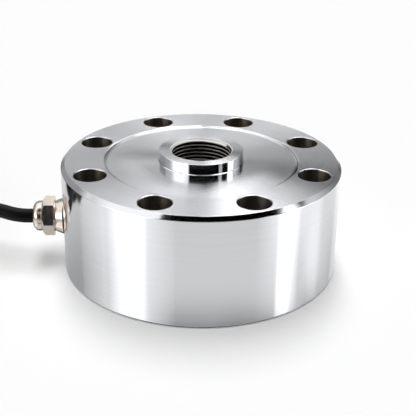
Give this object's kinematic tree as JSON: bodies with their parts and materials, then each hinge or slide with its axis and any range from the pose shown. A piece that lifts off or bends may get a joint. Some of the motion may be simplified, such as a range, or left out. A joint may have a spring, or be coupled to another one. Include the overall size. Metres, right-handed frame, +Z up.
{
  "type": "pancake load cell",
  "caption": "Low round steel load cell with a threaded raised hub, a ring of countersunk bolt holes and a coiled cable from a side gland.",
  "frame": {"origin": "centre of the base, on the surface that the rim stands on", "axes": "+Z up along the load thread, -X towards the cable gland"},
  "size_m": [0.3124, 0.1727, 0.0624],
  "materials": {
    "turned_steel": "polished side and fine turned faces",
    "cover_steel": "fine turned",
    "gland_nickel": "nickel-plated brass",
    "seal_rubber": "moulded",
    "clamp_nylon": "moulded",
    "cable_sheath": "satin PVC",
    "tie_nylon": "moulded",
    "gauge_foil": "polyimide film with foil grid",
    "lead_enamel": "enamelled wire",
    "board_laminate": "lacquered glass laminate",
    "resistor_body": "lacquered",
    "spool_wire": "wound nickel wire",
    "core_red": "PVC insulation",
    "core_green": "PVC insulation",
    "core_white": "PVC insulation",
    "core_black": "PVC insulation",
    "tinned_copper": "tinned strands"
  },
  "bodies": {
    "root": {"sensing_body": "turned_steel", "top_cover": "cover_steel", "bottom_cover": "cover_steel", "strain_gauge_1": "gauge_foil", "strain_gauge_2": "gauge_foil", "strain_gauge_3": "gauge_foil", "strain_gauge_4": "gauge_foil", "strain_gauge_5": "gauge_foil", "strain_gauge_6": "gauge_foil", "strain_gauge_7": "gauge_foil", "strain_gauge_8": "gauge_foil", "gauge_lead_1": "lead_enamel", "gauge_lead_2": "lead_enamel", "gauge_lead_3": "lead_enamel", "gauge_lead_4": "lead_enamel", "gauge_lead_5": "lead_enamel", "gauge_lead_6": "lead_enamel", "gauge_lead_7": "lead_enamel", "gauge_lead_8": "lead_enamel", "gauge_harness": "lead_enamel", "bridge_board": "board_laminate", "zero_resistor": "resistor_body", "span_resistor": "resistor_body", "balance_resistor": "resistor_body", "temperature_spool": "spool_wire", "gland_washer": "seal_rubber", "gland_body": "gland_nickel", "gland_seal": "seal_rubber", "gland_clamp": "clamp_nylon", "gland_nut": "gland_nickel", "inner_sheath": "cable_sheath", "inner_drain": "tinned_copper", "inner_core_red": "core_red", "inner_core_green": "core_green", "inner_core_white": "core_white", "inner_core_black": "core_black", "cable_lead": "cable_sheath", "cable_coil": "cable_sheath", "cable_tail": "cable_sheath", "cable_tie_1": "tie_nylon", "cable_tie_2": "tie_nylon", "cable_tie_3": "tie_nylon", "end_sleeve": "cable_sheath", "drain_wire": "tinned_copper", "core_red": "core_red", "core_green": "core_green", "core_white": "core_white", "core_black": "core_black"}
  },
  "joints": []
}
